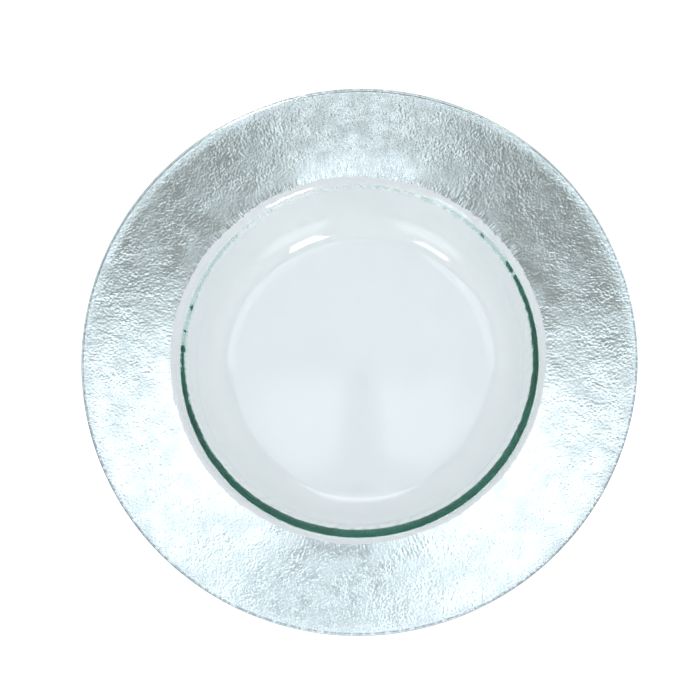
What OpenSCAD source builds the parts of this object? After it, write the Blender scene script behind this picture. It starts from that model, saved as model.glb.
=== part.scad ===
// Charger plate: a slumped glass plate with a deep clear well and a wide flat rim.
// The rim is gilded from below with lapped sheets of silver leaf under a coat of lacquer.

/* [Glass plate] */
// Diameter over the rim
plate_d = 330; // [300:1:380]
// Thickness of the glass
glass_t = 6; // [4:0.5:8]
// Radius on both corners of the rim's outer edge
edge_r = 1.4; // [0.4:0.1:2]
// Rise of the rim towards its outer edge, in degrees
rim_slope = 0; // [0:0.5:10]

/* [Well] */
// Diameter of the flat floor
floor_d = 152; // [110:1:170]
// Drop from the rim's inner end to the floor, top face to top face
well_depth = 32; // [26:0.5:45]
// Inside radius between the floor and the wall
floor_fillet_r = 21.5; // [10:0.5:26]
// Slope of the wall above the horizontal, in degrees
wall_slope = 65; // [55:1:75]
// Radius of the bend from the wall to the rim, on the underside
lip_bend_r = 3; // [1:0.5:6]

/* [Silver leaf] */
// Thickness of one sheet of leaf
leaf_t = 0.1; // [0.05:0.05:0.3]
// Bare glass between the lip's bend and the leaf
clear_ring_w = 3.5; // [1:0.5:12]
// Bare glass between the leaf and the rounded outer edge
edge_margin = 0.3; // [0.1:0.1:3]
// Width of the tail of each sheet that lies behind the next sheet
leaf_lap = 9; // [4:0.5:14]
// Width of the step where a sheet drops behind the next one
leaf_step = 2; // [1:0.5:3]
// Where each sheet starts, in degrees clockwise from the far side
seam_angles = [0, 50, 86, 130, 166, 214, 252, 306];

/* [Lacquer] */
// Thickness of the lacquer over the laps of the leaf
lacquer_t = 0.3; // [0.1:0.1:1]
// Leaf left bare along both edges of the lacquer
lacquer_inset = 0.8; // [0.2:0.1:3]

/* [Hidden] */
$fn = 180;
arc_steps = 16;
// Least flat left between the outer edge's two corners
edge_flat = 0.2;
leaf_count = len(seam_angles);

glass_colour = [0.78, 0.9, 0.87, 0.45];
leaf_colour = [0.8, 0.83, 0.84];
lacquer_colour = [0.62, 0.64, 0.65];

// Unit vectors along the wall and the rim, and square to them on the top side
wall_along = [cos(wall_slope), sin(wall_slope)];
wall_up = [-sin(wall_slope), cos(wall_slope)];
rim_along = [cos(rim_slope), sin(rim_slope)];
rim_up = [-sin(rim_slope), cos(rim_slope)];

// Fillet between the floor and the wall
floor_r = floor_d / 2;
fillet_centre = [floor_r, glass_t + floor_fillet_r];
fillet_rise = floor_fillet_r * (1 - cos(wall_slope));

// Straight stretch of the wall, from what the fillet and the bend leave of the depth
lip_top_r = lip_bend_r + glass_t;
lip_rise = lip_top_r * (cos(rim_slope) - cos(wall_slope));
wall_len = (well_depth - fillet_rise - lip_rise) / sin(wall_slope);
wall_foot = fillet_centre - floor_fillet_r * wall_up;
lip_centre = wall_foot + wall_len * wall_along - lip_top_r * wall_up;

// Rim, from the lip's bend to its rounded outer edge
rim_start = lip_centre + lip_bend_r * rim_up;
corner_r = min(edge_r, (glass_t - edge_flat) / 2);
corner_axis_r = plate_d / 2 - corner_r;
rim_len = (corner_axis_r + corner_r * sin(rim_slope) - rim_start.x) / cos(rim_slope);
low_corner = rim_start + rim_len * rim_along + corner_r * rim_up;
high_corner = low_corner + (glass_t - 2 * corner_r) * rim_up;

// Leaf and lacquer on the rim's underside
leaf_inner_r = rim_start.x + clear_ring_w;
leaf_outer_r = rim_start.x + rim_len * cos(rim_slope) - edge_margin;
leaf_mean_r = (leaf_inner_r + leaf_outer_r) / 2;
lap_angle = leaf_lap / leaf_mean_r * 180 / PI;
step_angle = leaf_step / leaf_mean_r * 180 / PI;
lacquer_depth = 2 * leaf_t + lacquer_t;
// How far cutters reach past what they cut, in millimetres and in degrees
cut_margin = 1;
cut_angle = 1;

// Points on a round stretch of an outline
function arc(centre, radius, from, to) = [
    for (i = [0:arc_steps])
        let (a = from + (to - from) * i / arc_steps)
        centre + radius * [cos(a), sin(a)]
];

// Height of the rim's underside at a radius
function underside_z(r) = rim_start.y + (r - rim_start.x) * tan(rim_slope);

// Where a sheet ends, which is where the next one starts
function seam_end(i) = i == leaf_count ? seam_angles[0] + 360 : seam_angles[i];

// Section of the plate from its axis out to the rim's edge
module glass_section() {
    polygon(concat(
        [[0, 0]],
        arc(fillet_centre, floor_fillet_r + glass_t, -90, wall_slope - 90),
        arc(lip_centre, lip_bend_r, wall_slope + 90, rim_slope + 90),
        arc(low_corner, corner_r, rim_slope - 90, rim_slope),
        arc(high_corner, corner_r, rim_slope, rim_slope + 90),
        arc(lip_centre, lip_top_r, rim_slope + 90, wall_slope + 90),
        arc(fillet_centre, floor_fillet_r, wall_slope - 90, -90),
        [[0, glass_t]]
    ));
}

// Section of a thin layer below the rim's underside, between two depths
module layer_section(inner_r, outer_r, top_depth, low_depth) {
    polygon([
        [inner_r, underside_z(inner_r) - low_depth],
        [outer_r, underside_z(outer_r) - low_depth],
        [outer_r, underside_z(outer_r) - top_depth],
        [inner_r, underside_z(inner_r) - top_depth]
    ]);
}

// A stretch of the leaf's ring between two clockwise angles and two depths
module leaf_stretch(from, to, top_depth, low_depth, margin = 0) {
    rotate([0, 0, 90 - to])
        rotate_extrude(angle = to - from)
            layer_section(leaf_inner_r - margin, leaf_outer_r + margin, top_depth, low_depth);
}

module glass_plate() {
    color(glass_colour)
        rotate_extrude()
            glass_section();
}

// A sheet lies on the glass in the first layer. At its end it steps down to the second one,
// and its tail passes behind the next sheet.
module leaf(i) {
    from = seam_angles[i - 1];
    step_from = seam_end(i) - step_angle;
    tail_to = seam_end(i) + lap_angle;
    color(leaf_colour)
        difference() {
            leaf_stretch(from, tail_to, 0, 2 * leaf_t);
            leaf_stretch(from - cut_angle, step_from, leaf_t, 3 * leaf_t, cut_margin);
            leaf_stretch(seam_end(i), tail_to + cut_angle, -leaf_t, leaf_t, cut_margin);
        }
}

// The lacquer fills the back of the leaf, with a pocket for each step and tail
module lacquer_coat() {
    color(lacquer_colour)
        difference() {
            rotate_extrude()
                layer_section(
                    leaf_inner_r + lacquer_inset,
                    leaf_outer_r - lacquer_inset,
                    leaf_t,
                    lacquer_depth
                );
            for (i = [1:leaf_count])
                leaf_stretch(
                    seam_end(i) - step_angle,
                    seam_end(i) + lap_angle,
                    0,
                    2 * leaf_t,
                    cut_margin
                );
        }
}

glass_plate();
for (i = [1:leaf_count])
    leaf(i);
lacquer_coat();
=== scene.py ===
"""Charger plate: slumped clear glass whose wide rim is gilded from below with silver leaf."""

import math

import bpy
from mathutils import Matrix, Vector, noise

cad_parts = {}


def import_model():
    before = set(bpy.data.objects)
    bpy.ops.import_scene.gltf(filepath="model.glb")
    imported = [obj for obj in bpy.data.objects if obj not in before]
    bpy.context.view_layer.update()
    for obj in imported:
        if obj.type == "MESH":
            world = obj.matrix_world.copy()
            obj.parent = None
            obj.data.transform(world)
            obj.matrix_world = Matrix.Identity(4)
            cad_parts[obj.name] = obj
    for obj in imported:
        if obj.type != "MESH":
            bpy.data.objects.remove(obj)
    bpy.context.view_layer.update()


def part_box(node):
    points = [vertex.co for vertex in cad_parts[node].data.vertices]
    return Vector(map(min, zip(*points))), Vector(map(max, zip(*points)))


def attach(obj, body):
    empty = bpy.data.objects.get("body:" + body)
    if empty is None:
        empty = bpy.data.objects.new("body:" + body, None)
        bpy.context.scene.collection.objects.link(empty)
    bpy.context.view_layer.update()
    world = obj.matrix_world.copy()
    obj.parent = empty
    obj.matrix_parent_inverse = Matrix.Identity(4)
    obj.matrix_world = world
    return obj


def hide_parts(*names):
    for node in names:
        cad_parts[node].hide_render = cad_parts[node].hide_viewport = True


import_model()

MM = 0.001

# Sizes of the plate, from the frame and from the same section as its solids
PLATE_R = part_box("glass_plate")[1].x
RIM_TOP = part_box("glass_plate")[1].z
RIM_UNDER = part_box("leaf_1")[1].z
GLASS_T = RIM_TOP - RIM_UNDER
FLOOR_R = 76 * MM
FILLET_R = 21.5 * MM
WALL_SLOPE = math.radians(65)
LIP_BEND_R = 3 * MM
LIP_TOP_R = LIP_BEND_R + GLASS_T

# Lower and upper corners of the outer edge, crisper than on the solids
EDGE_R = 0.4 * MM
EDGE_TOP_R = 0.5 * MM

# Silver leaf: bare glass beside it, and each sheet's start in degrees clockwise from the far side
CLEAR_RING = 1.2 * MM
EDGE_MARGIN = 0.2 * MM
SEAMS = [0, 50, 86, 130, 166, 214, 252, 306]
LAP = 9 * MM

# Fineness of the meshes: points round a turn, rows across the rim and steps along the glass's section
TURN = 720
FINE_TURN = 2 * TURN
UNDER_ROWS = 16
LEAF_ROWS = 80
BACK_ROW_STEP = 2
FLOOR_RINGS = (0.3, 0.65)
UNDER_FILLET_STEPS = 16
UNDER_WALL_STEPS = 9
UNDER_BEND_STEPS = 8
CORNER_STEPS = 5
EDGE_STEPS = 3
RIM_STEPS = 8
LIP_STEPS = 18
WALL_STEPS = 5
FILLET_STEPS = 18

# Seeds that keep the noises apart, and seeds that keep each sheet's own noises apart
SEEDS = {
    "swell": 2.5,
    "stroke": 3.1,
    "bulge": 8.4,
    "grain": 0.5,
    "crinkle": 6.5,
    "patch": 9.3,
    "streak": 1.7,
    "wander": 4.2,
    "crease": 3.7,
    "nick": 11.0,
    "seam": 0.4,
    "lacquer_inner": 4.4,
    "lacquer_outer": 9.2,
    "brush": 2.2,
}
SHEET_SEEDS = {"broad": 7.3, "torn": 3.1, "fine": 1.7, "tuft": 2.9, "seam": 5.1}


def smooth_step(low, high, value):
    t = min(max((value - low) / (high - low), 0.0), 1.0)
    return t * t * (3 - 2 * t)


def clockwise(angle_deg):
    """Direction on the table at an angle clockwise from the far side."""
    a = math.radians(angle_deg)
    return math.sin(a), math.cos(a)


def polar_noise(angle_deg, height, turns_size, length, seed):
    """Noise wrapped round the plate, turns_size across and length along the other way."""
    sx, sy = clockwise(angle_deg)
    ring = LEAF_MIDDLE / turns_size
    return noise.noise(Vector((sx * ring, sy * ring, height / length + seed)))


def flat_noise(r, angle_deg, size, seed):
    """Noise over the table, with features of about this size."""
    sx, sy = clockwise(angle_deg)
    return noise.noise(Vector((r * sx / size, r * sy / size, seed)))


def section_centres():
    """Centres of the floor's fillet and of the lip's bend, as radius and height."""
    up = Vector((-math.sin(WALL_SLOPE), math.cos(WALL_SLOPE)))
    along = Vector((math.cos(WALL_SLOPE), math.sin(WALL_SLOPE)))
    fillet = Vector((FLOOR_R, GLASS_T + FILLET_R))
    foot = fillet - FILLET_R * up
    head_z = RIM_TOP - LIP_TOP_R + LIP_TOP_R * up.y
    head = foot + (head_z - foot.y) / along.y * along
    return fillet, head - LIP_TOP_R * up


FILLET_CENTRE, LIP_CENTRE = section_centres()
LEAF_INNER = LIP_CENTRE.x + CLEAR_RING
LEAF_OUTER = PLATE_R - EDGE_MARGIN
LEAF_MIDDLE = 0.5 * (LEAF_INNER + LEAF_OUTER)

# Broad unevenness of the slumped underside, which fades out by the lip
SWELL_SIZE = 17 * MM
SWELL_DEPTH = 0.02 * MM
SWELL_FADE = 6 * MM


def rim_under(r, angle_deg):
    """Height of the glass's underside on the rim."""
    fade = smooth_step(0, SWELL_FADE, r - LEAF_INNER)
    return RIM_UNDER + SWELL_DEPTH * flat_noise(r, angle_deg, SWELL_SIZE, SEEDS["swell"]) * fade


# Faint upright strokes left by the mould on the underside of the lip
STROKE_SIZE = 1.4 * MM
STROKE_LENGTH = 14 * MM
STROKE_DEPTH = 0.05 * MM
BULGE_SIZE = 5 * MM
BULGE_LENGTH = 9 * MM
BULGE_DEPTH = 0.14 * MM
STROKE_FOOT = 12 * MM
STROKE_HEAD = 28 * MM


def lip_stroke(point, angle_deg):
    """How far the underside of the wall and lip stands out of its plain section."""
    fade = smooth_step(STROKE_FOOT, STROKE_HEAD, point.y)
    if fade == 0:
        return 0
    fine = polar_noise(angle_deg, point.y, STROKE_SIZE, STROKE_LENGTH, SEEDS["stroke"])
    broad = polar_noise(angle_deg, point.y, BULGE_SIZE, BULGE_LENGTH, SEEDS["bulge"])
    return fade * (STROKE_DEPTH * fade * fine + BULGE_DEPTH * broad)


def new_piece(name, vertices, faces, material):
    mesh = bpy.data.meshes.new(name)
    mesh.from_pydata(vertices, [], faces)
    mesh.polygons.foreach_set("use_smooth", [True] * len(mesh.polygons))
    mesh.materials.append(material)
    mesh.update()
    piece = bpy.data.objects.new(name, mesh)
    bpy.context.scene.collection.objects.link(piece)
    return piece


def arc(centre, radius, start_deg, end_deg, steps, outward=1):
    """Points along a round stretch of the section, each with its outward direction."""
    stretch = []
    for i in range(steps + 1):
        a = math.radians(start_deg + (end_deg - start_deg) * i / steps)
        out = Vector((math.cos(a), math.sin(a)))
        stretch.append((centre + radius * out, outward * out))
    return stretch


def straight(start, end, steps):
    """Points inside a straight stretch of the section, between two points that it joins."""
    (a, out_a), (b, out_b) = start, end
    return [(a.lerp(b, i / steps), out_a.lerp(out_b, i / steps)) for i in range(1, steps)]


def plain_turn(stretch, count):
    """One turn of each point about the plate's axis."""
    turns = []
    for point, _ in stretch:
        turns.append([(point.x * sx, point.x * sy, point.y)
                      for sx, sy in (clockwise(360 * i / count) for i in range(count))])
    return turns


def stroked_turn(stretch, count):
    """Turns of the lip's underside, with the mould's strokes."""
    turns = []
    for point, out in stretch:
        turn = []
        for i in range(count):
            angle = 360 * i / count
            sx, sy = clockwise(angle)
            moved = point + out * lip_stroke(point, angle)
            turn.append((moved.x * sx, moved.x * sy, moved.y))
        turns.append(turn)
    return turns


def rim_under_turns(start_r, end_r, rows, count):
    """Turns of the rim's uneven underside between two radii, without its ends."""
    turns = []
    for k in range(1, rows):
        r = start_r + (end_r - start_r) * k / rows
        turn = []
        for i in range(count):
            angle = 360 * i / count
            sx, sy = clockwise(angle)
            turn.append((r * sx, r * sy, rim_under(r, angle)))
        turns.append(turn)
    return turns


def joined_turns(a, count_a, b, count_b):
    """Faces between two turns, where one may have twice as many points as the other."""
    faces = []
    few = min(count_a, count_b)
    for i in range(few):
        j = (i + 1) % few
        if count_a == count_b:
            faces.append((a + i, b + i, b + j, a + j))
        elif count_a < count_b:
            faces.append((a + i, b + 2 * i, b + 2 * i + 1, b + 2 * j, a + j))
        else:
            faces.append((a + 2 * i, b + i, b + j, a + 2 * j, a + 2 * i + 1))
    return faces


def glass_body(material):
    """The whole plate, from the middle of its underside round the edge to the middle of its top."""
    wall_deg = math.degrees(WALL_SLOPE)
    down, up = Vector((0, -1)), Vector((0, 1))
    low_corner = Vector((PLATE_R - EDGE_R, RIM_UNDER + EDGE_R))
    high_corner = Vector((PLATE_R - EDGE_TOP_R, RIM_TOP - EDGE_TOP_R))

    under = [(Vector((FLOOR_R * k, 0)), down) for k in FLOOR_RINGS]
    under += arc(FILLET_CENTRE, FILLET_R + GLASS_T, -90, wall_deg - 90, UNDER_FILLET_STEPS)
    bend = arc(LIP_CENTRE, LIP_BEND_R, wall_deg + 90, 90, UNDER_BEND_STEPS, outward=-1)
    wall = straight(under[-1], bend[0], UNDER_WALL_STEPS)
    edge = arc(low_corner, EDGE_R, -90, 0, CORNER_STEPS)
    upper_edge = arc(high_corner, EDGE_TOP_R, 0, 90, CORNER_STEPS)
    bend_top = arc(LIP_CENTRE, LIP_TOP_R, 90, wall_deg + 90, LIP_STEPS)
    fillet_top = arc(FILLET_CENTRE, FILLET_R, wall_deg - 90, -90, FILLET_STEPS, outward=-1)
    upper = edge + straight(edge[-1], upper_edge[0], EDGE_STEPS) + upper_edge
    upper += straight(upper_edge[-1], bend_top[0], RIM_STEPS) + bend_top
    upper += straight(bend_top[-1], fillet_top[0], WALL_STEPS) + fillet_top
    upper += [(Vector((FLOOR_R * k, GLASS_T)), up) for k in reversed(FLOOR_RINGS)]

    turns = plain_turn(under, TURN)
    turns += stroked_turn(wall + bend, FINE_TURN)
    turns += rim_under_turns(bend[-1][0].x, edge[0][0].x, UNDER_ROWS, TURN)
    turns += plain_turn(upper, TURN)

    vertices = [(0, 0, 0), (0, 0, GLASS_T)]
    starts = []
    for turn in turns:
        starts.append(len(vertices))
        vertices += turn
    faces = []
    first, last = starts[0], starts[-1]
    for i in range(TURN):
        j = (i + 1) % TURN
        faces.append((0, first + i, first + j))
        faces.append((1, last + j, last + i))
    for turn_a, turn_b, a, b in zip(turns, turns[1:], starts, starts[1:]):
        faces += joined_turns(a, len(turn_a), b, len(turn_b))
    return new_piece("glass_body", vertices, faces, material)


# Leaf sheets: thickness, and how far their faces lie in the glass, so that no air is between. A tail drops
# behind the next sheet over a turn in degrees.
LEAF_T = 0.06 * MM
LEAF_SUNK = 0.1 * MM
TAIL_DROP = 0.02 * MM
TAIL_TURN = 6

# How far each sheet's start leans over the rim's width, in degrees
SEAM_LEANS = [0.5, -1, 1.5, -0.5, 1, -1.5, 0.5, -6]

# How far each sheet stops short of the lip, beyond the bare ring, in millimetres
SHEET_GAPS = [-0.4, -0.3, -0.5, -0.6, -0.3, 0.4, 0.9, 0.2]

# Relief of the leaf: grain, crinkles in patches, strokes towards the well, and creases
GRAIN_SIZE = 1.05 * MM
GRAIN_DEPTH = 0.008 * MM
CRINKLE_SIZE = 2.1 * MM
CRINKLE_DEPTH = 0.0085 * MM
CRINKLE_WIDTH = 0.24
CRINKLE_LEAST = 0.5
CRINKLE_BY_WELL = 0.3
PATCH_SIZE = 9 * MM
PATCH_RANGE = (-0.35, 0.4)
STREAK_SIZE = 0.95 * MM
STREAK_LENGTH = 3.5 * MM
STREAK_DEPTH = 0.007 * MM
STREAK_REACH = 20 * MM
WANDER_SIZE = 12 * MM
WANDER_REACH = 8 * MM
CREASE_SIZE = 9 * MM
CREASE_DEPTH = 0.006 * MM
CREASE_SHARPNESS = 12


def leaf_relief(r, angle_deg):
    """Height of the leaf's face above the glass's broad underside."""
    grain = GRAIN_DEPTH * flat_noise(r, angle_deg, GRAIN_SIZE, SEEDS["grain"])
    fold = max(1 - abs(flat_noise(r, angle_deg, CRINKLE_SIZE, SEEDS["crinkle"])) / CRINKLE_WIDTH, 0)
    patch = smooth_step(*PATCH_RANGE, flat_noise(r, angle_deg, PATCH_SIZE, SEEDS["patch"]))
    crinkle = CRINKLE_DEPTH * fold * fold * (CRINKLE_LEAST + (1 - CRINKLE_LEAST) * patch)
    streak = STREAK_DEPTH * polar_noise(angle_deg, r, STREAK_SIZE, STREAK_LENGTH, SEEDS["streak"])
    wander = WANDER_REACH * flat_noise(r, angle_deg, WANDER_SIZE, SEEDS["wander"])
    outer = smooth_step(0, STREAK_REACH, r - LEAF_INNER + wander)
    off_crease = abs(flat_noise(r, angle_deg, CREASE_SIZE, SEEDS["crease"]))
    ridge = 1 - min(CREASE_SHARPNESS * off_crease, 1)
    away_from_well = grain + CREASE_DEPTH * ridge * ridge + (1 - CRINKLE_BY_WELL) * crinkle
    return outer * away_from_well + CRINKLE_BY_WELL * crinkle + (1 - outer) * streak


# Torn inner edge: broad and middling waves, tufts that are longest on the far side, and a cut corner where
# a sheet starts, over a turn in degrees
BROAD_DEPTH = 0.5 * MM
BROAD_WAVES = 5
TORN_SIZE = 5 * MM
TORN_DEPTH = 0.3 * MM
FINE_TUFT_SIZE = 0.9 * MM
FINE_TUFT_SHARE = 0.8
TUFT_SIZE = 2.3 * MM
TUFT_SHARE = 0.35
TUFT_LENGTH = 0.6 * MM
TUFT_LONGER = 0.8 * MM
TUFT_SIDE = (0.0, 0.9)
CORNER_CUT = 1.5 * MM
CORNER_TURN = 3.0


def leaf_inner_edge(angle_deg, sheet):
    """Radius of a sheet's torn inner edge."""
    start = SEAMS[sheet - 1]
    sx, sy = clockwise(angle_deg)
    place = Vector((sx * BROAD_WAVES, sy * BROAD_WAVES, sheet * SHEET_SEEDS["broad"]))
    broad = BROAD_DEPTH * noise.noise(place)
    torn = TORN_DEPTH * polar_noise(angle_deg, 0, TORN_SIZE, 1, sheet * SHEET_SEEDS["torn"])
    fine = polar_noise(angle_deg, 0, FINE_TUFT_SIZE, 1, sheet * SHEET_SEEDS["fine"])
    tuft = polar_noise(angle_deg, 0, TUFT_SIZE, 1, sheet * SHEET_SEEDS["tuft"])
    length = TUFT_LENGTH + TUFT_LONGER * smooth_step(*TUFT_SIDE, sy)
    fringe = length * (FINE_TUFT_SHARE * fine + TUFT_SHARE * tuft)
    corner = CORNER_CUT * (1 - smooth_step(0, CORNER_TURN, angle_deg - start))
    return LEAF_INNER + SHEET_GAPS[sheet - 1] * MM + broad + torn + fringe + corner


# Nicks along the outer edge
NICK_SIZE = 2.4 * MM
NICK_DEPTH = 0.2 * MM


def leaf_outer_edge(angle_deg, sheet):
    """Radius of a sheet's nicked outer edge."""
    nick = polar_noise(angle_deg, 0, NICK_SIZE, 1, SEEDS["nick"] + sheet)
    return LEAF_OUTER + NICK_DEPTH * nick - NICK_DEPTH


# Angle past which a sheet's edges are sharp, and the raggedness of its starting edge in degrees
SHEET_SHARP = math.radians(60)
RAGGED_SIZE = 4 * MM
RAGGED_LEAN = 0.22


def leaf_sheet(number, material):
    """One sheet, following the uneven glass, with its tail behind the next sheet."""
    start = SEAMS[number - 1]
    end = SEAMS[number % len(SEAMS)] + (360 if number == len(SEAMS) else 0)
    tail = end + math.degrees(LAP / LEAF_MIDDLE)
    columns = round((tail - start) * FINE_TURN / 360)
    back_rows = range(0, LEAF_ROWS + 1, BACK_ROW_STEP)
    vertices = []
    for i in range(columns + 1):
        middle = start + (tail - start) * i / columns
        inner = leaf_inner_edge(middle, number)
        outer = leaf_outer_edge(middle, number)
        behind = smooth_step(end - TAIL_TURN, end, middle) * TAIL_DROP
        face, back = [], []
        for k in range(LEAF_ROWS + 1):
            r = inner + (outer - inner) * k / LEAF_ROWS
            slant = seam_slant(number, r) * (1 - (middle - start) / (tail - start))
            angle = middle + slant
            sx, sy = clockwise(angle)
            base = rim_under(r, angle) - behind
            face.append((r * sx, r * sy, base + LEAF_SUNK + leaf_relief(r, angle)))
            if k % BACK_ROW_STEP == 0:
                back.append((r * sx, r * sy, base - LEAF_T))
        vertices += face + back
    faces = sheet_faces(columns, len(back_rows))
    sheet = new_piece(f"leaf_sheet_{number}", vertices, faces, material)
    sheet.data.set_sharp_from_angle(angle=SHEET_SHARP)
    return sheet


def seam_slant(number, r):
    """How far a sheet's starting edge strays from a straight radial line, in degrees."""
    across = (r - LEAF_MIDDLE) / (LEAF_OUTER - LEAF_INNER)
    lean = SEAM_LEANS[number - 1]
    place = Vector((r / RAGGED_SIZE, number * SHEET_SEEDS["seam"], SEEDS["seam"]))
    return lean * across + RAGGED_LEAN * noise.noise(place)


def sheet_faces(columns, backs):
    """Faces of a sheet whose columns each hold the face's points and then the back's."""
    fronts = LEAF_ROWS + 1
    stride = fronts + backs
    faces = []
    for i in range(columns):
        a, b = i * stride, (i + 1) * stride
        for k in range(LEAF_ROWS):
            faces.append((a + k, a + k + 1, b + k + 1, b + k))
        for k in range(fronts, stride - 1):
            faces.append((a + k, b + k, b + k + 1, a + k + 1))
        faces.append((a, b, b + fronts, a + fronts))
        faces.append((a + fronts - 1, a + stride - 1, b + stride - 1, b + fronts - 1))
    last = columns * stride
    for j in range(backs - 1):
        low, high = j * BACK_ROW_STEP, (j + 1) * BACK_ROW_STEP
        edge = tuple(range(low, high + 1))
        faces.append((fronts + j, fronts + j + 1) + edge[::-1])
        faces.append((last + fronts + j + 1, last + fronts + j) + tuple(last + k for k in edge))
    return faces


# Lacquer over the back of the leaf, with brush marks and a wandering edge
LACQUER_INSET = 1.5 * MM
LACQUER_T = 0.25 * MM
LACQUER_SET_BACK = 0.14 * MM
LACQUER_ROWS = 40
LACQUER_SHARP = math.radians(50)
LACQUER_EDGE_SIZE = 7 * MM
LACQUER_INNER_WANDER = 0.6 * MM
LACQUER_OUTER_WANDER = 0.3 * MM
BRUSH_LENGTH = 25 * MM
BRUSH_WIDTH = 1.6 * MM
BRUSH_DEPTH = 0.05 * MM


def lacquer_reach(angle_deg):
    """Inner and outer radius of the lacquer."""
    inner = polar_noise(angle_deg, 0, LACQUER_EDGE_SIZE, 1, SEEDS["lacquer_inner"])
    outer = polar_noise(angle_deg, 0, LACQUER_EDGE_SIZE, 1, SEEDS["lacquer_outer"])
    return (LEAF_INNER + LACQUER_INSET + LACQUER_INNER_WANDER * inner,
            LEAF_OUTER - LACQUER_INSET + LACQUER_OUTER_WANDER * outer)


def lacquer_back(material):
    """Brushed coat over the back of the leaf."""
    vertices = []
    for i in range(TURN):
        angle = 360 * i / TURN
        sx, sy = clockwise(angle)
        inner, outer = lacquer_reach(angle)
        for side in (0, 1):
            for k in range(LACQUER_ROWS + 1):
                r = inner + (outer - inner) * k / LACQUER_ROWS
                brush = BRUSH_DEPTH * polar_noise(angle, r, BRUSH_LENGTH, BRUSH_WIDTH, SEEDS["brush"])
                z = rim_under(r, angle) - LACQUER_SET_BACK - side * (LACQUER_T + brush)
                vertices.append((r * sx, r * sy, z))
    width = LACQUER_ROWS + 1
    last = LACQUER_ROWS
    faces = []
    for i in range(TURN):
        a, b = i * 2 * width, ((i + 1) % TURN) * 2 * width
        for k in range(LACQUER_ROWS):
            faces.append((a + k, a + k + 1, b + k + 1, b + k))
            faces.append((a + width + k, b + width + k, b + width + k + 1, a + width + k + 1))
        faces.append((a, b, b + width, a + width))
        faces.append((a + last, a + width + last, b + width + last, b + last))
    coat = new_piece("lacquer_back", vertices, faces, material)
    coat.data.set_sharp_from_angle(angle=LACQUER_SHARP)
    return coat


# Marks round the plate's axis: their width, their length towards the well, and the size of the blotches
SMUDGE_MARKS = (3 * MM, 9 * MM, 22 * MM)
LEAF_MARKS = (0.7 * MM, 7 * MM, 15 * MM)
EDGE_MARKS = (1.5 * MM, 4 * MM, 10 * MM)
CLUMP_MARKS = (3 * MM, 9 * MM, 7 * MM)
BRUSH_MARKS = (30 * MM, 0.8 * MM, 20 * MM)
BLOTCH_DETAIL = 3

# A range below is the noise where a mark starts, where it is full and, where given, its least and its most

# Glass: its tint in depth, and smudges on the rim
GLASS_IOR = 1.52
GLASS_TINT = (0.54, 0.765, 0.715, 1)
GLASS_DENSITY = 26
GLASS_CLEAR = (1, 1, 1, 1)
GLASS_HAZY = (0.975, 0.985, 0.985, 1)
SMUDGE_RANGE = (0.5, 0.75)
SMUDGE_FADE = 12 * MM
SMUDGE_ROUGHNESS = 0.05

# Leaf's colours: dull patches, specks, fold lines, and dark dots by the outer edge that stand for the dark
# backing there, with painted shade that makes them reach further in on the near side
SILVER = (0.95, 0.96, 0.955, 1)
SILVER_DULL = (0.89, 0.9, 0.885, 1)
SILVER_SPECK = (0.74, 0.76, 0.755, 1)
EDGE_DARK = (0.43, 0.48, 0.5, 1)
DULL_RANGE = (0.45, 0.7, 0, 0.8)
SPECK_SIZE = 0.85 * MM
SPECK_RANGE = (0.6, 0.95)
SPECK_BLOTCH = 0.5
FOLD_SIZE = 4.5 * MM
FOLD_MIDDLE = 0.5
FOLD_RANGE = (0.035, 0, 0, 0.7)
DOT_RANGE = (0.38, 0.56, 0.1, 1)
DOTS_FROM = 1.3 * MM
DOTS_FULL = 0.8 * MM
DOTS_WIDER = 0.6 * MM

# Leaf's surface: roughness in patches, and a grain in clumps that fades towards the well
LEAF_ROUGHNESS = (0.35, 0.7, 0.06, 0.11)
CLUMP_RANGE = (0.38, 0.62, 0.65, 1.2)
BUMP_SIZE = 1.5 * MM
BUMP_DETAIL = 1.5
BUMP_DEPTH = 0.033 * MM
WELL_FADE_FROM = 4 * MM
WELL_FADE_TO = 28 * MM
WELL_FADE_LEAST = 0.45

# Torn leaf by the well: a wide fringe on the far side and short hairs on its flanks. How far out each
# reaches, the range of directions that it covers, the noise level that lies flat, and the lean.
FRINGE_REACH = 20 * MM
FRINGE_SIDE = (0.93, 0.995)
FRINGE_MIDDLE = 0.3
HAIR_REACH = 5 * MM
HAIR_SIDE = (0.2, 0.8)
HAIR_MIDDLE = 0.52
HAIR_LEAN = 0.24

# Lacquer: light and dark blotches, and brush marks in its gloss and face
LACQUER_LIGHT = (0.5, 0.52, 0.53, 1)
LACQUER_DARK = (0.36, 0.38, 0.4, 1)
LACQUER_BLOTCH = (0.35, 0.65)
LACQUER_ROUGHNESS = (0.3, 0.7, 0.28, 0.5)
LACQUER_BUMP = 0.1 * MM


def new_material(name):
    material = bpy.data.materials.new(name)
    material.use_nodes = True
    tree = material.node_tree
    return material, tree, tree.nodes["Principled BSDF"]


def add_node(tree, kind, **values):
    node = tree.nodes.new(kind)
    for key, value in values.items():
        setattr(node, key, value)
    return node


def maths(tree, operation, a, b):
    """A Math node whose inputs are sockets or numbers."""
    node = add_node(tree, "ShaderNodeMath", operation=operation)
    for socket, value in zip(node.inputs, (a, b)):
        if isinstance(value, (int, float)):
            socket.default_value = value
        else:
            tree.links.new(value, socket)
    return node.outputs[0]


def product(tree, *factors):
    total = factors[0]
    for factor in factors[1:]:
        total = maths(tree, "MULTIPLY", total, factor)
    return total


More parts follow.
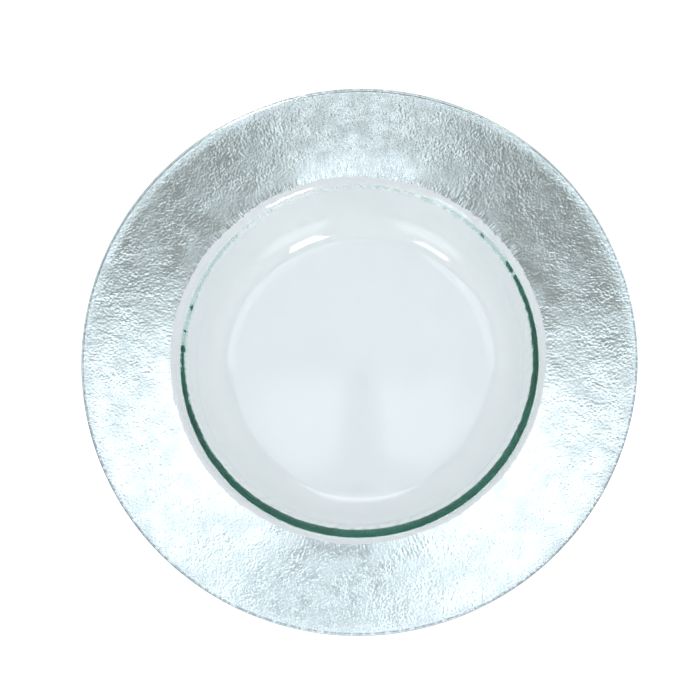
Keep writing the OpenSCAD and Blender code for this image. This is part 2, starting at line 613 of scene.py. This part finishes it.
def vector_maths(tree, operation, a, b=None):
    """A Vector Math node, whose second input is a vector or, to scale, a number or a socket."""
    node = add_node(tree, "ShaderNodeVectorMath", operation=operation)
    tree.links.new(a, node.inputs[0])
    socket = node.inputs["Scale"] if operation == "SCALE" else node.inputs[1]
    if isinstance(b, bpy.types.NodeSocket):
        tree.links.new(b, socket)
    elif b is not None:
        socket.default_value = b
    return node.outputs["Value"] if operation in ("LENGTH", "DOT_PRODUCT") else node.outputs["Vector"]


def soft_range(tree, value, start, end, low=0.0, high=1.0):
    """A smooth change from low, at start, to high, at end."""
    node = add_node(tree, "ShaderNodeMapRange", interpolation_type="SMOOTHSTEP")
    node.inputs["From Min"].default_value = start
    node.inputs["From Max"].default_value = end
    node.inputs["To Min"].default_value = low
    node.inputs["To Max"].default_value = high
    tree.links.new(value, node.inputs["Value"])
    return node.outputs["Result"]


def mixed(tree, factor, first, second):
    """A colour between two others, which are sockets or colours."""
    node = add_node(tree, "ShaderNodeMix", data_type="RGBA")
    tree.links.new(factor, node.inputs["Factor"])
    for socket, colour in zip((s for s in node.inputs if s.type == "RGBA"), (first, second)):
        if isinstance(colour, tuple):
            socket.default_value = colour
        else:
            tree.links.new(colour, socket)
    return next(s for s in node.outputs if s.type == "RGBA")


def noise_on(tree, vector, detail=1):
    node = add_node(tree, "ShaderNodeTexNoise")
    node.inputs["Scale"].default_value = 1
    node.inputs["Detail"].default_value = detail
    tree.links.new(vector, node.inputs["Vector"])
    return node.outputs["Fac"]


def sized_noise(tree, vector, size, detail=1):
    """Noise over a place, with features of about this size."""
    return noise_on(tree, vector_maths(tree, "SCALE", vector, 1 / size), detail)


def flat_place(tree):
    """Position over the table, without the height."""
    place = add_node(tree, "ShaderNodeTexCoord").outputs["Object"]
    return vector_maths(tree, "MULTIPLY", place, (1, 1, 0))


def plate_marks():
    """Node group: strokes laid out round the plate's axis, and soft blotches."""
    group = bpy.data.node_groups.new("plate_marks", "ShaderNodeTree")
    for name in ("Across", "Along", "Blotch Size"):
        group.interface.new_socket(name, in_out="INPUT", socket_type="NodeSocketFloat")
    for name in ("Strokes", "Blotch"):
        group.interface.new_socket(name, in_out="OUTPUT", socket_type="NodeSocketFloat")
    given = add_node(group, "NodeGroupInput").outputs
    made = add_node(group, "NodeGroupOutput").inputs
    flat = flat_place(group)
    ring = vector_maths(group, "SCALE", vector_maths(group, "NORMALIZE", flat),
                        maths(group, "DIVIDE", LEAF_MIDDLE, given["Across"]))
    inward = add_node(group, "ShaderNodeCombineXYZ")
    radius = vector_maths(group, "LENGTH", flat)
    group.links.new(maths(group, "DIVIDE", radius, given["Along"]), inward.inputs["Z"])
    strokes = noise_on(group, vector_maths(group, "ADD", ring, inward.outputs[0]))
    group.links.new(strokes, made["Strokes"])
    finer = maths(group, "DIVIDE", 1, given["Blotch Size"])
    blotch = noise_on(group, vector_maths(group, "SCALE", flat, finer), BLOTCH_DETAIL)
    group.links.new(blotch, made["Blotch"])
    return group


def marks_on(tree, group, across, along, blotch):
    node = add_node(tree, "ShaderNodeGroup", node_tree=group)
    node.inputs["Across"].default_value = across
    node.inputs["Along"].default_value = along
    node.inputs["Blotch Size"].default_value = blotch
    return node.outputs["Strokes"], node.outputs["Blotch"]


def bumped(tree, height, distance):
    node = add_node(tree, "ShaderNodeBump")
    node.inputs["Strength"].default_value = 1
    node.inputs["Distance"].default_value = distance
    tree.links.new(height, node.inputs["Height"])
    return node.outputs["Normal"]


def glass_material(group):
    """Clear, slightly green glass with faint smudges on the rim."""
    material, tree, shader = new_material("slumped_glass")
    shader.inputs["Transmission Weight"].default_value = 1
    shader.inputs["IOR"].default_value = GLASS_IOR
    _, blotch = marks_on(tree, group, *SMUDGE_MARKS)
    radius = vector_maths(tree, "LENGTH", flat_place(tree))
    smudge = soft_range(tree, blotch, *SMUDGE_RANGE)
    on_rim = soft_range(tree, radius, LEAF_INNER, LEAF_INNER + SMUDGE_FADE)
    tree.links.new(mixed(tree, smudge, GLASS_CLEAR, GLASS_HAZY), shader.inputs["Base Color"])
    tree.links.new(product(tree, smudge, on_rim, SMUDGE_ROUGHNESS), shader.inputs["Roughness"])
    absorb = add_node(tree, "ShaderNodeVolumeAbsorption")
    absorb.inputs["Color"].default_value = GLASS_TINT
    absorb.inputs["Density"].default_value = GLASS_DENSITY
    tree.links.new(absorb.outputs[0], tree.nodes["Material Output"].inputs["Volume"])
    return material


def leaf_colour(tree, group, blotch, flat, radius, far_side, off_well):
    """Silver with dull patches, specks and fold lines, and dark dots along its outer edge, widened by
    painted shade on the near side.
    """
    dots, _ = marks_on(tree, group, *EDGE_MARKS)
    # Painted shade: the band of dark dots at the outer edge reaches further in on the near side
    near_shade_radius = maths(tree, "SUBTRACT", radius, product(tree, far_side, DOTS_WIDER))
    by_edge = soft_range(tree, near_shade_radius, LEAF_OUTER - DOTS_FROM, LEAF_OUTER - DOTS_FULL)
    edge = product(tree, by_edge, soft_range(tree, dots, *DOT_RANGE))
    silver = mixed(tree, soft_range(tree, blotch, *DULL_RANGE), SILVER, SILVER_DULL)
    pores = sized_noise(tree, flat, SPECK_SIZE)
    clustered = maths(tree, "ADD", pores, product(tree, blotch, SPECK_BLOTCH))
    speck = soft_range(tree, clustered, *SPECK_RANGE)
    folds = sized_noise(tree, flat, FOLD_SIZE)
    off_fold = maths(tree, "ABSOLUTE", maths(tree, "SUBTRACT", folds, FOLD_MIDDLE), 0)
    marked = maths(tree, "MAXIMUM", speck, soft_range(tree, off_fold, *FOLD_RANGE))
    specked = mixed(tree, product(tree, marked, off_well), silver, SILVER_SPECK)
    return mixed(tree, edge, specked, EDGE_DARK)


def torn_lean(tree, strokes, radius, far_side):
    """How far the torn leaf by the well leans outwards."""
    in_fringe = product(tree, soft_range(tree, radius, LEAF_INNER + FRINGE_REACH, LEAF_INNER),
                        soft_range(tree, far_side, *FRINGE_SIDE))
    in_hair = product(tree, soft_range(tree, radius, LEAF_INNER + HAIR_REACH, LEAF_INNER),
                      soft_range(tree, far_side, *HAIR_SIDE))
    fringe = product(tree, maths(tree, "SUBTRACT", strokes, FRINGE_MIDDLE), in_fringe)
    hair = product(tree, maths(tree, "SUBTRACT", strokes, HAIR_MIDDLE), in_hair)
    return product(tree, maths(tree, "ADD", fringe, hair), -HAIR_LEAN)


def leaf_material(group):
    """Bright leaf with fine grain, dull patches, a scuffed fringe by the well and a dark edge, widened by
    painted shade on the near side.
    """
    material, tree, shader = new_material("silver_leaf")
    shader.inputs["Metallic"].default_value = 1
    strokes, blotch = marks_on(tree, group, *LEAF_MARKS)
    flat = flat_place(tree)
    radius = vector_maths(tree, "LENGTH", flat)
    outward = vector_maths(tree, "NORMALIZE", flat)
    far_side = vector_maths(tree, "DOT_PRODUCT", outward, (0, 1, 0))
    off_well = soft_range(tree, radius, LEAF_INNER + WELL_FADE_FROM, LEAF_INNER + WELL_FADE_TO,
                          WELL_FADE_LEAST, 1)
    colour = leaf_colour(tree, group, blotch, flat, radius, far_side, off_well)
    tree.links.new(colour, shader.inputs["Base Color"])
    tree.links.new(soft_range(tree, blotch, *LEAF_ROUGHNESS), shader.inputs["Roughness"])

    _, clump = marks_on(tree, group, *CLUMP_MARKS)
    clumped = product(tree, soft_range(tree, clump, *CLUMP_RANGE), off_well)
    grain = product(tree, sized_noise(tree, flat, BUMP_SIZE, BUMP_DETAIL), clumped)
    lean = add_node(tree, "ShaderNodeVectorMath", operation="MULTIPLY_ADD")
    tree.links.new(outward, lean.inputs[0])
    tree.links.new(torn_lean(tree, strokes, radius, far_side), lean.inputs[1])
    tree.links.new(add_node(tree, "ShaderNodeNewGeometry").outputs["Normal"], lean.inputs[2])
    bump = bumped(tree, grain, BUMP_DEPTH)
    tree.links.new(vector_maths(tree, "NORMALIZE", lean.outputs[0]), bump.node.inputs["Normal"])
    tree.links.new(bump, shader.inputs["Normal"])
    return material


def lacquer_material(group):
    """Grey lacquer with brush marks, on the back of the leaf."""
    material, tree, shader = new_material("backing_lacquer")
    strokes, blotch = marks_on(tree, group, *BRUSH_MARKS)
    dark = soft_range(tree, blotch, *LACQUER_BLOTCH)
    tree.links.new(mixed(tree, dark, LACQUER_LIGHT, LACQUER_DARK), shader.inputs["Base Color"])
    tree.links.new(soft_range(tree, strokes, *LACQUER_ROUGHNESS), shader.inputs["Roughness"])
    tree.links.new(bumped(tree, strokes, LACQUER_BUMP), shader.inputs["Normal"])
    return material


def dress_plate():
    marks = plate_marks()
    body = glass_body(glass_material(marks))
    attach(body, "root")
    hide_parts("glass_plate")
    leaf = leaf_material(marks)
    for number in range(1, len(SEAMS) + 1):
        sheet = leaf_sheet(number, leaf)
        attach(sheet, "root")
        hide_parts(f"leaf_{number}")
    coat = lacquer_back(lacquer_material(marks))
    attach(coat, "root")
    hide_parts("lacquer_coat")


# Stage: the table lies a hair below the glass, as under a real plate. It is lifted to white for the camera,
# and less so for what is seen in the glass and the silver.
TABLE_DROP = 0.1 * MM
TABLE_HALF = 30.0
TABLE_COLOUR = (0.58, 0.59, 0.6, 1)
LIFT_SEEN = 0.8
LIFT_IN_GLASS = 0.545
LIFT_COLOUR = (0.945, 0.955, 1, 1)
TABLE_ROUGHNESS = 0.9


def table_top():
    mesh = bpy.data.meshes.new("table_top")
    sides = ((-1, -1), (1, -1), (1, 1), (-1, 1))
    corners = [(x * TABLE_HALF, y * TABLE_HALF, -TABLE_DROP) for x, y in sides]
    mesh.from_pydata(corners, [], [(0, 1, 2, 3)])
    table = bpy.data.objects.new("table_top", mesh)
    bpy.context.scene.collection.objects.link(table)
    material, tree, shader = new_material("white_table")
    shader.inputs["Base Color"].default_value = TABLE_COLOUR
    shader.inputs["Roughness"].default_value = TABLE_ROUGHNESS
    shader.inputs["Specular IOR Level"].default_value = 0.0
    mesh.materials.append(material)
    path = add_node(tree, "ShaderNodeLightPath").outputs
    seen = maths(tree, "MULTIPLY", path["Is Camera Ray"], LIFT_SEEN)
    in_glass = maths(tree, "MAXIMUM", path["Is Glossy Ray"], path["Is Transmission Ray"])
    lift = maths(tree, "MAXIMUM", seen, maths(tree, "MULTIPLY", in_glass, LIFT_IN_GLASS))
    shader.inputs["Emission Color"].default_value = LIFT_COLOUR
    tree.links.new(lift, shader.inputs["Emission Strength"])


# Lamps: two soft rectangles overhead, one on each side, towards the camera
LAMP_HEIGHT = 2.5
LAMPS = {
    "lamp_right": {"place": (0.645, -1.21), "size": (0.47, 0.85), "radiance": 17},
    "lamp_left": {"place": (-1.12, -1.09), "size": (0.5, 0.5), "radiance": 7},
}
LAMP_COLOUR = (0.94, 0.96, 1.0)

# Studio light from all round, as directions from the plate: walls, a belt above them and a ceiling, each
# with its level on the near and the far side, and two glows on the near side. In the ceiling two bright
# panels meet at a gap that widens towards the camera, a pale strip lies beyond the gap, and a shorter row
# of panels beyond that. Places on the ceiling are tangents from the zenith.
STUDIO_COLOUR = (0.925, 0.97, 0.97, 1)
PANEL_COLOUR = (0.85, 0.915, 1, 1)
BACKDROP_WHITE = (1, 1, 1, 1)
WALL_NEAR_LEVEL = 1.05
WALL_FAR_LEVEL = 0.75
WALL_FADE = (-1, 0.2)
BELT_NEAR_LEVEL = 0.9
BELT_FAR_LEVEL = 0.5
BELT_FADE = (-0.2, 0.9)
BELT_LOW = math.cos(math.radians(82))
BELT_HIGH = math.cos(math.radians(55))
GLOWS = ((0.453, -0.785, 0.423), (-0.522, -0.737, 0.43))
GLOW_LEVEL = 2.1
GLOW_EDGE = math.cos(math.radians(19))
GLOW_CORE = math.cos(math.radians(13))
CEILING_LEVEL = 0.33
CEILING_NEAR_LEVEL = 0.8
CEILING_NEAR = (-0.35, -0.1)
CEILING_CORE = math.cos(math.radians(26))
CEILING_EDGE = math.cos(math.radians(50))
CEILING_TOWARDS = (0, 0.06, 0.998)
LEAST_RISE = 0.05
PANEL_LEVEL = 1.7
PANEL_FAR = 0.193
PANEL_NEAR = -0.06
PANEL_HALF_WIDTH = 0.4
PANEL_SHARP = 0.005
PANEL_END_SOFT = 0.01
PANEL_SOFT = 0.03
PANEL_SIDE_SOFT = 0.12
LEFT_PANEL_AT = -0.088
LEFT_PANEL_LONGER = 0.017
GAP_AT = -0.0385
GAP_HALF = 0.003
GAP_SPREAD = 0.085
GAP_FLARE = 0.7
GAP_FLARE_FROM = 0.044
GAP_MOST = 0.029
GAP_SLANT = 0.4
GAP_STEM_LEVEL = 0.65
GAP_STEM = (0.03, 0.055)
GAP_LEVEL = 0.32
GAP_END_LEVEL = 0.8
GAP_END = (0.065, 0.095)
STRIP_LEVEL = 1.35
STRIP_START_LEVEL = 1.05
STRIP_START = (0.228, 0.242)
STRIP_HALF = 0.022
STRIP_START_HALF = 0.04
STRIP_WIDENS = (0.255, 0.29)
STRIP_WIDER = 0.01
STRIP_END = 0.36
SECOND_ROW = 0.43
SECOND_ROW_END = 0.74
SECOND_HALF_WIDTH = 0.13
SECOND_LEVEL = 3


def area_lamp(name, place, size, radiance):
    """A soft rectangle that faces down."""
    light = bpy.data.lights.new(name, "AREA")
    light.shape = "RECTANGLE"
    light.size, light.size_y = size
    light.energy = radiance * math.pi * size[0] * size[1]
    light.color = LAMP_COLOUR
    lamp = bpy.data.objects.new(name, light)
    lamp.location = place
    bpy.context.scene.collection.objects.link(lamp)
    return lamp


def lamps():
    for name, facts in LAMPS.items():
        x, y = facts["place"]
        lamp = area_lamp(name, (x, y, LAMP_HEIGHT), facts["size"], facts["radiance"])
        lamp.rotation_euler = (0, 0, math.atan2(x, -y))


def blended(tree, factor, first, second):
    """A number between two others, which are sockets or numbers."""
    return maths(tree, "ADD", first, product(tree, maths(tree, "SUBTRACT", second, first), factor))


def before(tree, value, end, softness):
    """Mask of what lies before an end."""
    return soft_range(tree, value, end + softness, end - softness)


def after(tree, value, start, softness):
    """Mask of what lies after a start."""
    return soft_range(tree, value, start - softness, start + softness)


def ceiling_masks(tree, direction):
    """Masks and levels of the ceiling's panels, their gap, the strip beyond and the second row."""
    parts = add_node(tree, "ShaderNodeSeparateXYZ")
    tree.links.new(direction, parts.inputs[0])
    up = maths(tree, "MAXIMUM", parts.outputs["Z"], LEAST_RISE)
    across = maths(tree, "DIVIDE", parts.outputs["X"], up)
    away = maths(tree, "DIVIDE", parts.outputs["Y"], up)
    longer = product(tree, before(tree, across, LEFT_PANEL_AT, PANEL_SHARP), LEFT_PANEL_LONGER)
    from_end = maths(tree, "SUBTRACT", maths(tree, "ADD", longer, PANEL_FAR), away)

    flare = maths(tree, "MAXIMUM", maths(tree, "SUBTRACT", from_end, GAP_FLARE_FROM), 0)
    slanted = maths(tree, "ADD", across, product(tree, flare, GAP_SLANT))
    from_gap = maths(tree, "ABSOLUTE", maths(tree, "SUBTRACT", slanted, GAP_AT), 0)
    spread = maths(tree, "ADD", product(tree, from_end, GAP_SPREAD), product(tree, flare, GAP_FLARE))
    half = maths(tree, "MINIMUM", maths(tree, "ADD", spread, GAP_HALF), GAP_MOST)
    in_gap = before(tree, maths(tree, "SUBTRACT", from_gap, half), 0, PANEL_SHARP)
    row = product(tree, after(tree, from_end, 0, PANEL_END_SOFT),
                  after(tree, away, PANEL_NEAR, PANEL_SOFT),
                  before(tree, from_gap, PANEL_HALF_WIDTH, PANEL_SIDE_SOFT))
    panels = product(tree, row, maths(tree, "SUBTRACT", 1, in_gap))
    gap = product(tree, row, in_gap)
    strip_half = maths(tree, "ADD", soft_range(tree, away, *STRIP_START, STRIP_START_HALF, STRIP_HALF),
                       soft_range(tree, away, *STRIP_WIDENS, 0, STRIP_WIDER))
    strip_level = soft_range(tree, away, *STRIP_START, STRIP_START_LEVEL, STRIP_LEVEL)
    strip = product(tree, before(tree, from_end, 0, PANEL_END_SOFT),
                    before(tree, away, STRIP_END, PANEL_SOFT),
                    before(tree, maths(tree, "SUBTRACT", from_gap, strip_half), 0, PANEL_SOFT / 2))
    second = product(tree, after(tree, away, SECOND_ROW, PANEL_SHARP),
                     before(tree, away, SECOND_ROW_END, PANEL_SOFT),
                     before(tree, from_gap, SECOND_HALF_WIDTH, PANEL_SOFT))
    gap_level = maths(tree, "ADD", soft_range(tree, from_end, *GAP_STEM, GAP_STEM_LEVEL, GAP_LEVEL),
                      soft_range(tree, from_end, *GAP_END, 0, GAP_END_LEVEL - GAP_LEVEL))
    return (panels, PANEL_LEVEL), (gap, gap_level), (strip, strip_level), (second, SECOND_LEVEL)


def studio_light():
    world = bpy.data.worlds.new("studio")
    bpy.context.scene.world = world
    world.use_nodes = True
    tree = world.node_tree
    back = tree.nodes["Background"]
    direction = add_node(tree, "ShaderNodeTexCoord").outputs["Generated"]
    far = vector_maths(tree, "DOT_PRODUCT", direction, (0, 1, 0))
    height = vector_maths(tree, "DOT_PRODUCT", direction, (0, 0, 1))
    overhead = vector_maths(tree, "DOT_PRODUCT", direction, CEILING_TOWARDS)
    belt = soft_range(tree, far, *BELT_FADE, BELT_NEAR_LEVEL, BELT_FAR_LEVEL)
    wall = soft_range(tree, far, *WALL_FADE, WALL_NEAR_LEVEL, WALL_FAR_LEVEL)
    belt = blended(tree, soft_range(tree, height, BELT_LOW, BELT_HIGH), wall, belt)
    for towards in GLOWS:
        nearness = vector_maths(tree, "DOT_PRODUCT", direction, towards)
        glow = soft_range(tree, nearness, GLOW_EDGE, GLOW_CORE)
        belt = blended(tree, glow, belt, GLOW_LEVEL)
    ceiling = soft_range(tree, far, *CEILING_NEAR, CEILING_NEAR_LEVEL, CEILING_LEVEL)
    level = blended(tree, soft_range(tree, overhead, CEILING_EDGE, CEILING_CORE), belt, ceiling)
    bright = 0.0
    for mask, brightness in ceiling_masks(tree, direction):
        level = blended(tree, mask, level, brightness)
        bright = maths(tree, "ADD", bright, mask)
    seen = add_node(tree, "ShaderNodeLightPath").outputs["Is Camera Ray"]
    colour = mixed(tree, bright, STUDIO_COLOUR, PANEL_COLOUR)
    tree.links.new(mixed(tree, seen, colour, BACKDROP_WHITE), back.inputs["Color"])
    tree.links.new(blended(tree, seen, level, 1), back.inputs["Strength"])


# Camera, set from the photo's viewing angle
CAMERA_DISTANCE = 1.8
CAMERA_ELEVATION = math.radians(78.5)
CAMERA_SIDE = math.radians(12)
FRAME_WIDTH = 0.4155
AIM = Vector((-0.0051, 0.0047, 0.036))
SENSOR_WIDTH = 36
CLIP_START = 0.01


def photo_camera():
    camera = bpy.data.cameras.new("photo_camera")
    camera.sensor_width = SENSOR_WIDTH
    camera.lens = SENSOR_WIDTH * CAMERA_DISTANCE / FRAME_WIDTH
    camera.clip_start = CLIP_START
    rig = bpy.data.objects.new("photo_camera", camera)
    flat = math.cos(CAMERA_ELEVATION)
    rise = math.sin(CAMERA_ELEVATION)
    back = Vector((flat * math.sin(CAMERA_SIDE), -flat * math.cos(CAMERA_SIDE), rise))
    right = Vector((0, 1, 0)).cross(back).normalized()
    up = back.cross(right)
    turn = Matrix((right, up, back)).transposed().to_4x4()
    rig.matrix_world = Matrix.Translation(AIM + CAMERA_DISTANCE * back) @ turn
    bpy.context.scene.collection.objects.link(rig)
    bpy.context.scene.camera = rig


# Light runs far along the wall's inside, so it needs many bounces
BOUNCES = 60

scene = bpy.context.scene
scene.view_settings.view_transform = "Standard"
scene.cycles.max_bounces = BOUNCES
scene.cycles.transmission_bounces = BOUNCES
scene.cycles.glossy_bounces = BOUNCES

photo_camera()
lamps()
studio_light()
table_top()
dress_plate()
